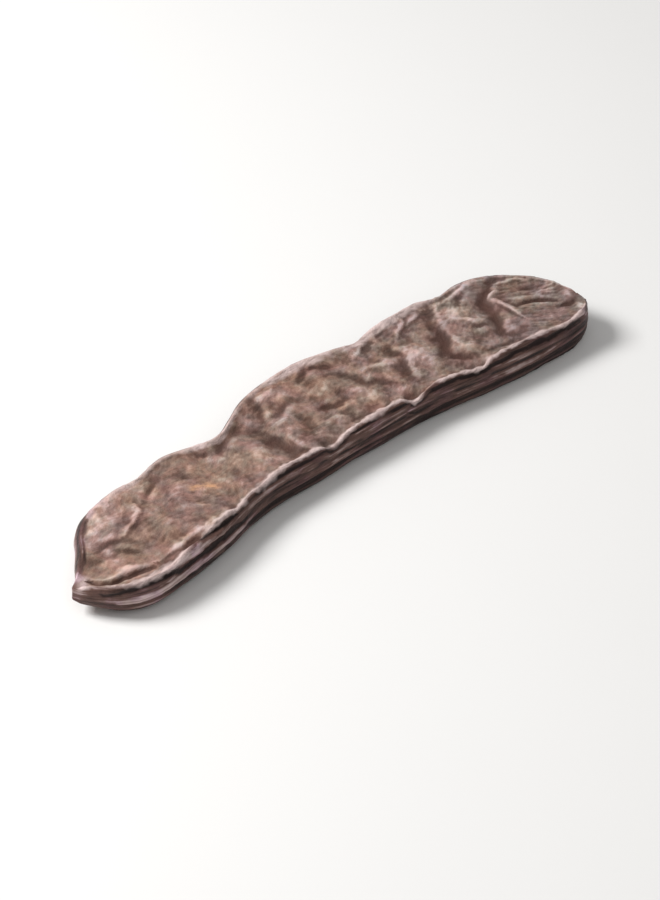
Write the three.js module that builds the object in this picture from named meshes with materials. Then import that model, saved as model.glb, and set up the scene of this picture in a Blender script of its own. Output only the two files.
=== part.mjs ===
// A ripe, dried carob pod, grown as one piece, that lies on one of its two broad faces.
// Millimetres, +Z up. The pod rests on z = 0, with its blossom tip at -X and its stalk end at +X.
import * as THREE from "three";
import { LoftGeometry } from "three/addons/geometries/LoftGeometry.js";

// The two margins seen from above, from the blossom tip to the stalk end.
const FRONT_MARGIN = [
  [-78.4, -9.3], [-77.4, -11.6], [-75, -14.6], [-70.6, -18.4], [-64, -20.6], [-54, -19.4], [-40, -16.6],
  [-25, -12.7], [-8, -12], [14, -11.3], [26, -11.5], [40, -13.1], [56, -14.2], [66, -14],
  [72.6, -12.9], [76, -10.6], [77.2, -7],
];
const BACK_MARGIN = [
  [-78.4, -9.3], [-75.8, -7], [-73.2, -3.4], [-69.8, 0.9], [-67.2, 4.7], [-63.8, 7.5], [-57, 9.4],
  [-46, 10.4], [-37.5, 12.2], [-31, 11], [-25, 9.8], [-21.5, 10.4], [-16.5, 13.1], [-10, 16.5],
  [0, 18.2], [8.5, 18.8], [16.5, 17.3], [24, 15.8], [31, 17.2], [43.5, 17.8], [50, 16.4],
  [57, 16.8], [64, 15], [70.5, 9.8], [74.8, 3.6], [76.8, -2.2], [77.2, -7],
];
// The middle of the outline's box, which becomes the pod's own origin.
const MIDDLE = [0, -0.9];

// Thickness: half of it at the rims, the share left at each end, and how fast it is reached.
const HALF_THICKNESS = 4.9;
const TIP_SHARE = 0.3;
const TIP_REACH = 12;
const STALK_SHARE = 0.42;
const STALK_REACH = 5;

// The four rims: how far each crest stands in from its margin, where that changes as [x, length, change],
// and its dips as [x, length before, length after, share of the full dip].
const TOP_FRONT_RIM = {
  inset: 2.2,
  flares: [[-62, 14, -1], [53, 9, 0.6], [72, 8, -0.9]],
  dips: [
    [-58, 3, 4, 0.3], [-35.5, 2, 4, 0.35], [-27, 3, 4, 0.3], [-5.5, 2, 5, 0.7], [20.5, 2.5, 4.5, 0.9],
    [40.5, 5.5, 1.8, 0.6], [66, 6, 6, 0.3],
  ],
};
const LOW_FRONT_RIM = {
  inset: 2.2,
  flares: [[72, 12, -0.9]],
  dips: [[-60, 5, 5, 0.4], [-33, 6, 3, 0.5], [2, 5, 5, 0.6], [33, 3, 6, 0.4], [60, 5, 5, 0.5]],
};
const TOP_BACK_RIM = {
  inset: 2,
  flares: [[-71, 8, 1.4]],
  dips: [[-66, 6, 6, 0.5], [-45, 5, 5, 0.3], [24, 4, 4, 0.4], [52, 4, 4, 0.5]],
};
const LOW_BACK_RIM = {
  inset: 2,
  flares: [[-71, 8, 1.4]],
  dips: [[-52, 6, 6, 0.4], [-22, 7, 5, 0.6], [12, 6, 6, 0.4], [48, 6, 6, 0.6]],
};
const MAX_INSET_SHARE = 0.4;
const DIP_OUT = 1.2;
const DIP_DOWN = 1.9;
const DIP_REACH = 4;

// How deep both faces sink between their rims, and how squarely.
const FACE_SINK = 0.6;
const SINK_POWER = 4;
// Dips and relief are full where the pod is at least this wide to either side of its middle line.
const FULL_HALF_WIDTH = 9;

// Margins: a round nose with a seam rib and grooves, as [share of the half thickness, width, height].
const NOSE_POWER = 2.3;
const MARGIN_RIBS = [[0, 0.08, 0.3], [0.3, 0.17, -0.25], [0.85, 0.1, -0.25]];

// Seeds swell both faces along the middle of the pod, now to one side and now to the other.
const SEED_COUNT = 12;
const FIRST_SEED_X = -64;
const SEED_PITCH = 11.4;
const SEED_SIDEWAYS = 1.6;
const SEED_RADIUS = 4.6;
const SEED_HEIGHT = 0.2;

// Folds of the upper face as [height, half width, path], valleys below zero and ridges above.
const UPPER_FOLDS = [
  [-0.65, 1.8, [[-67.3, -5.1], [-61.8, -3.1], [-60.1, -4.3]]],
  [0.6, 1.9, [[-70, -4], [-64.5, 2], [-56, 7.2], [-50, 8.4]]],
  [0.5, 1.1, [[-74, -10.5], [-70.5, -13.7], [-66.5, -14.3], [-61.8, -15.4]]],
  [-0.7, 1.1, [[-73, -13.9], [-69.3, -15.4], [-64.9, -16.1], [-60.5, -16.8]]],
  [0.5, 1.1, [[-55.5, -15], [-47.3, -14.1], [-38, -12.8]]],
  [-0.6, 1.1, [[-55.4, -16.6], [-46.2, -15.7], [-39.5, -15.5]]],
  [-0.4, 1.4, [[-49.4, 1.3], [-52.1, -1.5], [-58.1, -4.2]]],
  [-0.8, 2.5, [[-29.6, 6.3], [-25.6, 5.1], [-21.1, 6.3], [-14.1, 8.7], [-11.6, 10.7]]],
  [-1, 3, [[-14.7, 3.7], [-13.7, 0.2], [-12.5, -3.4], [-10.6, -6.2], [-8.7, -8.2]]],
  [0.5, 1.3, [[-9.4, 0], [-10.6, -3.5], [-8.2, -8.4]]],
  [-0.5, 1.7, [[1, 1.3], [6.6, 0], [9.9, 0.1]]],
  [-0.6, 1.7, [[3.1, 12.3], [10.1, 13.7], [13.8, 9.9]]],
  [-0.55, 1.6, [[13.4, 5], [16.4, 1.5], [21.6, -3.4]]],
  [-0.6, 2.2, [[30.8, 8.4], [28.4, 6], [29.8, 3.4], [28.2, 0.4], [24.6, -5.6]]],
  [-1, 2.7, [[48, 13.1], [44.4, 10.7], [41, 4.3], [38.7, -1.7], [39.4, -4.3], [42.5, -7.1]]],
  [0.4, 1.3, [[47, 11.6], [44.4, 5.6], [42, -0.4]]],
  [0.4, 1.3, [[45.8, 10.3], [50, 12.8], [58.5, 14.3]]],
  [-1.1, 2.2, [[64.8, 11], [60.8, 9.3], [58, 7], [57.5, 3.8], [56.5, 0.5], [54.1, -2.8], [53.4, -5.2]]],
  [0.6, 1.3, [[64.4, 9.6], [59.6, 6.4], [60.6, 2.4], [61.4, -0.6]]],
  [0.5, 1.2, [[63.6, 2.8], [68, -0.2], [71, -2]]],
  [-0.8, 1.3, [[64.3, -0.1], [68.9, -1.9], [72, -3.7]]],
];
const LOWER_FOLDS = [
  [-0.9, 2.2, [[-50, 5], [-46, 0], [-47, -6], [-43, -11]]],
  [-1, 2.2, [[-2, 12], [2, 6], [0, 0], [4, -6]]],
  [-0.7, 1.9, [[18, -6], [24, -3], [30, -4]]],
  [-1.1, 2.2, [[52, 10], [48, 4], [51, -2], [47, -9]]],
];
const FOLD_SAMPLES = 40;
// Swellings of the upper face as [height, radius, x, y].
const UPPER_LUMPS = [
  [0.4, 3, -55.5, 2], [0.35, 5, -21, -4], [0.4, 3.2, 13.5, -2.6], [0.35, 4, 32.5, 2], [0.5, 5, 49.5, 6],
  [0.35, 4, 67, 3.5],
];

// Long wrinkles over both faces: waves in even directions and lengths, never two in step.
const WRINKLE_WAVES = 9;
const WRINKLE_HEIGHT = 0.1;
const LONGEST_WRINKLE = 17;
const WRINKLE_SHRINK = 0.88;
const GOLDEN_ANGLE = Math.PI * (3 - Math.sqrt(5));
const PLASTIC_STEP = 0.7548776662;

// The knob left where the stalk broke off, as [distance past the end, size] rings.
const KNOB_RINGS = [[0.5, 0.97], [0.9, 0.86], [1.2, 0.66]];

// The pod's own weight flattens the crests of its lower rims by this much, and both ends curl up.
const REST_PRESS = 0.45;
const END_LIFT = 1.2;
const END_LIFT_POWER = 8;

// Sampling of the surface: rings along the pod, and steps round each ring, which crowd towards the rims.
const RINGS = 112;
const FIRST_RING = 0.006;
const LAST_RING = 0.986;
const END_CROWDING = 0.45;
const FACE_STEPS = 16;
const SIDE_STEPS = 8;
const RIM_CROWDING = 0.25;

// A smooth curve in the plane z = 0 through [x, y] points.
function planCurve(points) {
  return new THREE.CatmullRomCurve3(points.map(([x, y]) => new THREE.Vector3(x, y, 0)));
}

// A bell of height 1 at zero that falls to 1/e at the given width.
function bell(distance, width) {
  return Math.exp(-((distance / width) ** 2));
}

// The total share of a rim's dips at x, at most 1.
function dipAt(x, dips) {
  const total = dips.reduce((sum, [at, before, after, share]) => {
    return sum + share * bell(x - at, x < at ? before : after);
  }, 0);
  return Math.min(total, 1);
}

// How much further in from its margin a rim stands at x.
function flareAt(x, flares) {
  return flares.reduce((sum, [at, length, change]) => sum + change * bell(x - at, length), 0);
}

// Folds with their paths sampled finely enough to measure distances to points.
function sampleFolds(folds) {
  return folds.map(([height, width, path]) => ({
    height,
    width,
    points: planCurve(path).getPoints(FOLD_SAMPLES),
  }));
}

// Height of all folds at a place: each is a bell of the distance to its path.
function foldHeight(place, folds) {
  return folds.reduce((sum, fold) => {
    const nearest = Math.min(...fold.points.map((point) => point.distanceTo(place)));
    return sum + fold.height * bell(nearest, fold.width);
  }, 0);
}

// Height of the swellings at a place.
function lumpHeight(place, lumps) {
  return lumps.reduce((sum, [height, radius, x, y]) => {
    return sum + height * bell(Math.hypot(place.x - x, place.y - y), radius);
  }, 0);
}

// Height of the long wrinkles: a sum of waves whose directions follow the golden angle.
function wrinkleHeight(place, seed) {
  let sum = 0;
  for (let wave = 1; wave <= WRINKLE_WAVES; wave += 1) {
    const direction = (wave + seed) * GOLDEN_ANGLE;
    const phase = 2 * Math.PI * ((wave + seed) * PLASTIC_STEP);
    const length = LONGEST_WRINKLE * WRINKLE_SHRINK ** wave;
    const along = place.x * Math.cos(direction) + place.y * Math.sin(direction);
    sum += Math.cos((2 * Math.PI * along) / length + phase);
  }
  return WRINKLE_HEIGHT * sum * Math.sqrt(2 / WRINKLE_WAVES);
}

// Height of the seed swellings along the middle line.
function seedHeight(place, middleY) {
  let sum = 0;
  for (let seed = 0; seed < SEED_COUNT; seed += 1) {
    const seedX = FIRST_SEED_X + seed * SEED_PITCH;
    const seedY = middleY + SEED_SIDEWAYS * Math.cos(seed * GOLDEN_ANGLE);
    sum += SEED_HEIGHT * bell(Math.hypot(place.x - seedX, place.y - seedY), SEED_RADIUS);
  }
  return sum;
}

const frontMargin = planCurve(FRONT_MARGIN);
const backMargin = planCurve(BACK_MARGIN);
const upperFolds = sampleFolds(UPPER_FOLDS);
const lowerFolds = sampleFolds(LOWER_FOLDS);
const podLength = frontMargin.getLength();

// What one ring needs: its two margin points, middle, half width, and thickness.
function ringFrame(along) {
  const front = frontMargin.getPointAt(along);
  const back = backMargin.getPointAt(along);
  const middle = front.clone().lerp(back, 0.5);
  const across = back.clone().sub(front);
  const halfWidth = across.length() / 2;
  const fromTip = along * podLength;
  const fromStalk = (1 - along) * podLength;
  const tipTaper = 1 - (1 - TIP_SHARE) * Math.exp(-fromTip / TIP_REACH);
  const stalkTaper = 1 - (1 - STALK_SHARE) * Math.exp(-fromStalk / STALK_REACH);
  const endLift = END_LIFT * Math.abs(2 * along - 1) ** END_LIFT_POWER;
  return {
    frontX: front.x,
    backX: back.x,
    middle,
    across: across.normalize(),
    halfWidth,
    halfThickness: HALF_THICKNESS * tipTaper * stalkTaper,
    height: HALF_THICKNESS + endLift,
    fade: tipTaper * stalkTaper * Math.min(1, halfWidth / FULL_HALF_WIDTH),
  };
}

// One rim crest: its distance from the middle line and its height above the middle plane.
function rimCrest(ring, x, rim) {
  const dip = dipAt(x, rim.dips) * ring.fade;
  const inset = rim.inset + flareAt(x, rim.flares) - DIP_OUT * dip;
  return {
    out: ring.halfWidth - Math.min(inset, MAX_INSET_SHARE * ring.halfWidth),
    up: ring.halfThickness - DIP_DOWN * dip,
  };
}

// A point of the ring, out from the middle line and up from the middle plane.
function ringPoint(ring, out, up) {
  const point = ring.middle.clone().addScaledVector(ring.across, out);
  point.z = Math.max(0, ring.height + up - REST_PRESS);
  return point;
}

// A point of a broad face, from its front rim (share -1) to its back rim (share 1).
function facePoint(ring, frontRim, backRim, share, upper) {
  const out = THREE.MathUtils.lerp(-frontRim.out, backRim.out, (share + 1) / 2);
  const place = ring.middle.clone().addScaledVector(ring.across, out);
  const frontDip = (frontRim.up - ring.halfThickness) * bell(out + frontRim.out, DIP_REACH);
  const backDip = (backRim.up - ring.halfThickness) * bell(backRim.out - out, DIP_REACH);
  const inside = (1 - Math.abs(share) ** SINK_POWER) * ring.fade;
  let relief = seedHeight(place, ring.middle.y) - FACE_SINK;
  if (upper) {
    relief += wrinkleHeight(place, 0) + foldHeight(place, upperFolds) + lumpHeight(place, UPPER_LUMPS);
  } else {
    relief += wrinkleHeight(place, WRINKLE_WAVES) + foldHeight(place, lowerFolds);
  }
  const up = ring.halfThickness + frontDip + backDip + inside * relief;
  return ringPoint(ring, out, upper ? up : -up);
}

// A point of a margin, from its lower rim (turn -1) round the nose to its upper rim (turn 1).
function sidePoint(ring, upperRim, lowerRim, turn, side) {
  const level = Math.sin((turn * Math.PI) / 2);
  const rim = level > 0 ? upperRim : lowerRim;
  const nose = (1 - Math.abs(level) ** NOSE_POWER) ** (1 / NOSE_POWER);
  const relief = MARGIN_RIBS.reduce((sum, [at, width, height]) => {
    return sum + height * bell(Math.abs(level) - at, width);
  }, 0);
  const out = THREE.MathUtils.lerp(rim.out, ring.halfWidth, nose) + relief * ring.fade;
  return ringPoint(ring, side * out, rim.up * level);
}

// Steps across a face, from -1 to 1, crowd towards its rims.
function faceShare(step) {
  return (1 + RIM_CROWDING) * step - RIM_CROWDING * step ** 3;
}

// All points of one ring, from the lower back rim up, over, down and back underneath.
function ringPoints(along) {
  const ring = ringFrame(along);
  const topFront = rimCrest(ring, ring.frontX, TOP_FRONT_RIM);
  const lowFront = rimCrest(ring, ring.frontX, LOW_FRONT_RIM);
  const topBack = rimCrest(ring, ring.backX, TOP_BACK_RIM);
  const lowBack = rimCrest(ring, ring.backX, LOW_BACK_RIM);
  const points = [];
  for (let step = 0; step < SIDE_STEPS; step += 1) {
    points.push(sidePoint(ring, topBack, lowBack, (2 * step) / SIDE_STEPS - 1, 1));
  }
  for (let step = 0; step < FACE_STEPS; step += 1) {
    points.push(facePoint(ring, topFront, topBack, faceShare(1 - (2 * step) / FACE_STEPS), true));
  }
  for (let step = 0; step < SIDE_STEPS; step += 1) {
    points.push(sidePoint(ring, topFront, lowFront, 1 - (2 * step) / SIDE_STEPS, -1));
  }
  for (let step = 0; step < FACE_STEPS; step += 1) {
    points.push(facePoint(ring, lowFront, lowBack, faceShare((2 * step) / FACE_STEPS - 1), false));
  }
  return points;
}

// The knob's rings repeat the pod's last ring, moved along +X and scaled about its centre.
function knobRings(lastRing) {
  const centre = new THREE.Box3().setFromPoints(lastRing).getCenter(new THREE.Vector3());
  return KNOB_RINGS.map(([past, size]) => lastRing.map((point) => {
    const scaled = point.clone().sub(centre).multiplyScalar(size).add(centre);
    scaled.x += past;
    return scaled;
  }));
}

// The whole skin: rings that crowd towards both ends, then the knob, closed by flat caps.
function podGeometry() {
  const rings = [];
  for (let index = 0; index < RINGS; index += 1) {
    const even = index / (RINGS - 1);
    const crowded = even - (END_CROWDING * Math.sin(2 * Math.PI * even)) / (2 * Math.PI);
    rings.push(ringPoints(THREE.MathUtils.lerp(FIRST_RING, LAST_RING, crowded)));
  }
  rings.push(...knobRings(rings[rings.length - 1]));
  const skin = new LoftGeometry(rings, { capStart: true, capEnd: true });
  return skin.translate(-MIDDLE[0], -MIDDLE[1], 0);
}

const hull = new THREE.MeshStandardMaterial({ color: 0x836a60, roughness: 0.6, metalness: 0 });
const pod = new THREE.Mesh(podGeometry(), hull);
pod.name = "carob_pod";

const carobPod = new THREE.Group();
carobPod.add(pod);

export default carobPod;
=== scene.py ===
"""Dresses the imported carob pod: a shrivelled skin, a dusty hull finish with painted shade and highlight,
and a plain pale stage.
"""

import math
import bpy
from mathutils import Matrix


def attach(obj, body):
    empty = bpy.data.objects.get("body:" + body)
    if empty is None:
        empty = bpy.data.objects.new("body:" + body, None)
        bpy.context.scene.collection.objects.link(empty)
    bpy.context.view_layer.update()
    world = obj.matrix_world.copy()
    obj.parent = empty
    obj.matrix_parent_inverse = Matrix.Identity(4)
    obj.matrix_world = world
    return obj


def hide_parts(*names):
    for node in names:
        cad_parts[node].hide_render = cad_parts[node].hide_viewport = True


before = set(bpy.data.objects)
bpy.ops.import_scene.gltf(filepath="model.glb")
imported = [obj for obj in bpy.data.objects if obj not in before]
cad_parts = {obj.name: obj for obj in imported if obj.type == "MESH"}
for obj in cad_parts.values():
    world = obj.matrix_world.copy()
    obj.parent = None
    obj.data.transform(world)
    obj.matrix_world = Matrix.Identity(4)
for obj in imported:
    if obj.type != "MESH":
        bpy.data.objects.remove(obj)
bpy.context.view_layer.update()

from types import SimpleNamespace

import bpy
import numpy as np
from mathutils import Vector

bl_info = {
    "name": "Carob Pod",
    "version": (1, 0, 0),
    "blender": (4, 5, 0),
    "location": "View3D > Sidebar > Carob Pod",
    "description": "Grows the skin of a dried carob pod round its packed solid, and stages it",
    "category": "Add Mesh",
}

# Lengths in the constants below are in millimetres unless a comment says otherwise; MM makes them metres.
MM = 0.001

# The two margins seen from above, from the blossom tip to the stalk end.
FRONT_MARGIN = [
    (-78.4, -9.3), (-77.4, -11.6), (-75, -14.6), (-70.6, -18.4), (-64, -20.6), (-54, -19.4),
    (-40, -16.6), (-25, -12.7), (-8, -12), (14, -11.3), (26, -11.5), (40, -13.1), (56, -14.2),
    (66, -14), (72.6, -12.9), (76, -10.6), (77.2, -7),
]
BACK_MARGIN = [
    (-78.4, -9.3), (-75.8, -7), (-73.2, -3.4), (-69.8, 0.9), (-67.2, 4.7), (-63.8, 7.5), (-57, 9.4),
    (-46, 10.4), (-37.5, 12.2), (-31, 11), (-25, 9.8), (-21.5, 10.4), (-16.5, 13.1), (-10, 16.5),
    (0, 18.2), (8.5, 18.8), (16.5, 17.3), (24, 15.8), (31, 17.2), (43.5, 17.8), (50, 16.4),
    (57, 16.8), (64, 15), (70.5, 9.8), (74.8, 3.6), (76.8, -2.2), (77.2, -7),
]
# The middle of the outline's box, which is the frame's own origin.
MIDDLE = (0, -0.9)

# The share of the thickness left at each end, and how fast it is reached.
TIP_SHARE, TIP_REACH = 0.3, 12
STALK_SHARE, STALK_REACH = 0.42, 5

# Dips in the four rims as (x, length before, length after, share of the full dip).
TOP_FRONT_DIPS = [
    (-58, 3, 4, 0.3), (-35.5, 2, 4, 0.35), (-27, 3, 4, 0.3), (-5.5, 2, 5, 0.7), (20.5, 2.5, 4.5, 0.9),
    (40.5, 5.5, 1.8, 0.6), (66, 6, 6, 0.3),
]
TOP_BACK_DIPS = [(-66, 6, 6, 0.5), (-45, 5, 5, 0.3), (24, 4, 4, 0.4), (52, 4, 4, 0.5)]
LOW_FRONT_DIPS = [(-60, 5, 5, 0.4), (-33, 6, 3, 0.5), (2, 5, 5, 0.6), (33, 3, 6, 0.4), (60, 5, 5, 0.5)]
LOW_BACK_DIPS = [(-52, 6, 6, 0.4), (-22, 7, 5, 0.6), (12, 6, 6, 0.4), (48, 6, 6, 0.6)]

# The viewpoint from which the folds below are placed, and the height of the plane that they are drawn on.
VIEW_AZIMUTH, VIEW_ELEVATION = math.radians(-40.5), math.radians(40)
SIGHT_HEIGHT = 8.4

# Folds that the viewpoint shows as (height, half width, path), valleys below zero and ridges above.
# A crease has two half widths, to the left and to the right of its path.
TIP_FOLDS = [
    (0.6, 1.9, [(-70, -4), (-67.4, -0.7), (-64.5, 2), (-60.5, 5.2), (-56, 7.2), (-50, 8.4)]),
    (-0.4, 1.3, [(-69.4, -6.6), (-66.6, -4.2), (-64.4, -3.5), (-62.3, -4.5), (-60.3, -5.8)]),
    (-0.35, 0.9, [(-63.6, -7.6), (-62.4, -9.2), (-61, -10.8)]),
    (0.4, (0.4, 1.2), [(-52, 2.2), (-52.6, -0.5), (-54.3, -1.4), (-56.6, -2.7), (-58.1, -3), (-59.8, -3.9)]),
    (-0.4, 1.1, [(-42.1, 7.6), (-44.8, 5.8), (-47.5, 4), (-49.5, 2.5)]),
    (-0.23, 1.7, [(-40.5, -7.2), (-38.5, -4.6)]),
    (0.6, (2, 0.4), [(-74, -11.6), (-72.4, -12.9), (-70.3, -13.8), (-66.5, -14.4), (-61, -15.5)]),
    (-0.9, 0.6, [(-75.2, -10.8), (-74, -12.9), (-70.7, -14.7), (-66.6, -15.3), (-61.6, -16.3)]),
    (0.55, (1.6, 0.5), [(-55.5, -15.3), (-51.3, -14.6), (-47.1, -13.9), (-41.6, -13.7), (-36, -12.8)]),
    (-0.7, 0.8, [(-53, -16.3), (-50.7, -15.6), (-47.2, -15.5), (-43.2, -15.4), (-40.1, -15), (-37, -14.1)]),
    (0.7, (1.1, 1.1), [(-57.5, -19.8), (-54.7, -19.1), (-51.4, -18.5), (-46.2, -17.7), (-41.4, -17)]),
    (-0.5, 0.7, [(-76, -16.5), (-72.5, -18.7), (-66, -20.1), (-58.7, -21), (-50, -20), (-38, -17.6)]),
    (0.5, 1.0, [(-75, -21.5), (-69, -23), (-62, -23.1), (-56.3, -22.5), (-49.3, -21.5), (-38, -19.3)]),
]
WAIST_FOLDS = [
    (-0.6, 1.5, [(-30.5, 7.2), (-28.2, 6.1), (-25.7, 6), (-22.6, 7.2), (-19.7, 8.1), (-16.6, 9.3)]),
    (-0.45, 1.5, [(-9.1, 13.6), (-10.2, 10.7), (-11.2, 8.1), (-12.2, 5.6)]),
    (-0.4, 4.0, [(-16, 9), (-15.6, 4.4), (-14.6, 0), (-13.4, -4), (-11.6, -7)]),
    (-0.65, 1.7, [(-14.8, 4.4), (-13.8, 1.8), (-13.4, -1.1), (-13.1, -3.9), (-12.1, -6.4), (-9.3, -7.7)]),
    (0.13, (1.1, 0.35), [(-8.9, 0.2), (-10.2, -2.6), (-10.2, -4.9), (-9.1, -7.3), (-8.2, -8.8)]),
    (-0.36, 1.0, [(-9.4, 6.1), (-6.5, 6.7), (-4.8, 7.8), (-2, 9.2)]),
    (0.3, 0.7, [(-10.2, 3.1), (-8, 3.6), (-5.8, 4.5)]),
    (-0.3, 1.6, [(-8, -0.8), (-5.5, -2.6), (-2.6, -3)]),
    (0.25, 0.7, [(-2, -4.8), (1.3, -2.8), (4.8, -4.8)]),
    (-0.32, 1.0, [(1.8, -6.5), (6, -6.3), (12, -6.4)]),
    (-0.45, 1.1, [(1.5, 1.4), (3.3, 0.9), (6.3, 0.5), (8, 0.6)]),
    (-0.45, 1.4, [(13.2, 7.3), (14.8, 4.6), (15.8, 1.9), (18.8, 0.3), (21, -2.9)]),
    (0.3, 1.3, [(16.3, 6.4), (20.6, 5.4), (23.7, 4.5), (26.5, 3.9)]),
    (-0.36, 1.0, [(3.5, 12.1), (5.7, 13.7), (7.5, 14.8)]),
    (-0.38, 1.1, [(8.4, 14.8), (11.2, 13.4), (13.4, 12.2)]),
    (0.35, 1.3, [(-8, 12.6), (-4.5, 13.8), (-1, 15)]),
]
STALK_FOLDS = [
    (-0.5, 1.6, [(27.8, 8.4), (27.6, 6.6), (28.6, 4.4), (27.2, 2.2), (25.4, -1.3), (24.6, -4.6)]),
    (0.17, (2, 0.5), [(30.6, 3), (28.6, 0.5), (27.1, -2.5), (26.2, -5)]),
    (-0.45, 1.6, [(44.5, 14), (43.4, 12), (42.4, 9.4), (41.5, 6.5)]),
    (-0.85, 1.8, [(42, 8.4), (41.2, 5.6), (40, 2.6), (38.6, -0.2), (38.1, -2.8), (39.3, -4.7), (42, -6)]),
    (0.24, (2.2, 0.5), [(46.3, 11.7), (44.6, 8.5), (43.8, 5.4), (43.4, 3.1), (42.4, 0)]),
    (0.5, (1, 1), [(46.1, 11.8), (48, 12.9), (53.7, 12.8), (55.8, 14.2), (58.9, 14.3), (61.8, 13.8),
                   (64.4, 13.3)]),
    (-0.35, 0.9, [(52.4, 10.4), (53.8, 11.4), (55.4, 12.2)]),
    (0.4, 0.6, [(47.6, 6), (49, 4.7), (50.6, 2.6), (52.9, 1.4)]),
    (-0.5, 0.8, [(49.3, 1), (51.1, 0.6), (52.6, 0.6)]),
    (-1.0, 1.9, [(64.6, 12.2), (60.6, 9.7), (57.7, 7.5), (56.6, 4.7), (56.5, 2.3), (54.7, -0.2), (53.3, -2.6),
                 (52.8, -5), (54.4, -7)]),
    (0.65, (1.3, 0.8), [(64.4, 9.8), (62.1, 8.5), (59.4, 6.8), (59.8, 4.8)]),
    (0.5, (1.3, 0.3), [(59.4, 5.8), (59.8, 4.8), (60.4, 2.2), (60.7, -0.6), (61, -3)]),
    (0.4, (0.9, 0.5), [(64.4, 9.8), (66.8, 9.1), (69.2, 8.5), (71.2, 6.5), (72.6, 6.2)]),
    (-0.4, 1.5, [(66, 5.6), (68.8, 4.6), (71, 3)]),
    (0.3, (0.6, 0.35), [(63.2, 3.2), (64.6, 2.2), (66.6, 0.9), (69.5, -0.7)]),
    (-0.9, 0.6, [(62.8, 0.9), (65.9, -0.1), (67.8, -0.7), (69.8, -2.1), (71.4, -3.9)]),
    (0.2, (1, 0.35), [(67.6, 0.2), (71, -0.1), (74.2, -1.2)]),
    (0.2, (1, 0.35), [(69, 0.8), (72.6, 0.4), (76, 0.2)]),
    (0.2, (1, 0.35), [(71.4, 1.4), (74.8, 1.4), (77, 0.8)]),
    (-0.5, 0.9, [(70.4, -6), (72.6, -6.6), (75.2, -6.3)]),
    (-0.27, 1.0, [(43, -6.9), (46.5, -7.7), (50.5, -8.4), (55, -9)]),
    (0.3, (1.4, 0.4), [(19.2, 10.4), (21.9, 11.5), (24.4, 12.7)]),
    (-0.35, 0.8, [(23, 10.8), (25.3, 12.2), (27.2, 12.8)]),
    (0.25, (0.5, 1.2), [(29.3, 15.6), (28.6, 14), (27.3, 11.8)]),
    (0.3, (1.3, 0.4), [(29, 14), (31.7, 14.4), (34.3, 15.4), (36.2, 16)]),
    (0.4, (1.4, 0.5), [(33, 9.8), (36, 12.1), (37.4, 13.7), (37.5, 15.2)]),
    (0.3, (1.3, 0.4), [(37, 11.5), (39.8, 12.5), (43.2, 13.4)]),
]
SIDE_FOLDS = [
    (0.3, 0.6, [(-29.8, -14.3), (-24.8, -13.3), (-20.3, -12.8), (-17.3, -12.6), (-14.5, -13.6),
                (-11.5, -13.7)]),
    (0.25, 0.5, [(-26, -15.7), (-16, -15.2), (-7, -15.2)]),
    (0.3, 0.6, [(-2, -13.8), (3.5, -13.3), (9.8, -12.8), (14, -13), (17, -13.6)]),
    (0.25, 0.5, [(-6, -16.6), (1, -16.2), (8, -15.6), (24, -15.5)]),
    (0.35, 0.7, [(22, -14.4), (29.6, -14.4), (35.4, -15.5), (41, -16.4), (48, -17), (56, -17.4), (64, -17)]),
    (-0.5, 0.9, [(26, -10.4), (31, -10.7), (36, -11.9), (42, -12.7), (52, -12.7), (60, -13.3), (70, -13.6)]),
    (-0.2, 0.8, [(-24, -11.2), (-20.5, -10.8), (-14, -11.3), (-9, -11.2)]),
]
SEEN_FOLDS = TIP_FOLDS + WAIST_FOLDS + STALK_FOLDS + SIDE_FOLDS
# Folds of the face that the pod lies on, placed from above.
UNDER_FOLDS = [
    (-0.9, 2.2, [(-50, 5), (-46, 0), (-47, -6), (-43, -11)]),
    (-1.0, 2.2, [(-2, 12), (2, 6), (0, 0), (4, -6)]),
    (-0.7, 1.9, [(18, -6), (24, -3), (30, -4)]),
    (-1.1, 2.2, [(52, 10), (48, 4), (51, -2), (47, -9)]),
    (0.5, 0.8, [(-44, 6), (-42.5, 1), (-43.5, -4), (-40, -9)]),
    (0.5, 0.8, [(3, 13), (5.6, 6), (3.8, 0), (7.5, -6)]),
    (0.5, 0.8, [(57, 9), (52, 3.6), (54.6, -2), (51, -8)]),
    (-0.6, 1.2, [(-66, -6), (-61, -3), (-57, -5)]),
    (-0.5, 1.3, [(-28, 4), (-22, 1), (-17, 3)]),
    (0.4, 0.8, [(20, 4), (26, 6.5), (33, 5)]),
    (-0.6, 1.2, [(62, 3), (66, 0), (69, -5)]),
]

# Swellings that the viewpoint shows as (height, radius, x, y).
LUMPS = [
    (0.4, 3.0, -55.5, 2), (0.35, 5, -21, -4), (0.3, 3.6, 13.5, -2.6), (0.35, 4, 32.5, 2), (0.5, 5, 49.5, 6),
    (0.35, 1.3, 42.5, 0.3), (0.3, 2.2, 43.5, -3.2), (0.35, 4, 67, 3.5), (0.35, 1.3, 75.4, -3.6),
    (0.35, 1.2, 74.2, -9.2), (0.4, 1.4, 72.6, -11.6), (0.3, 2.5, -66, -10), (0.2, 1.2, -66.2, -6.4),
]
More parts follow.
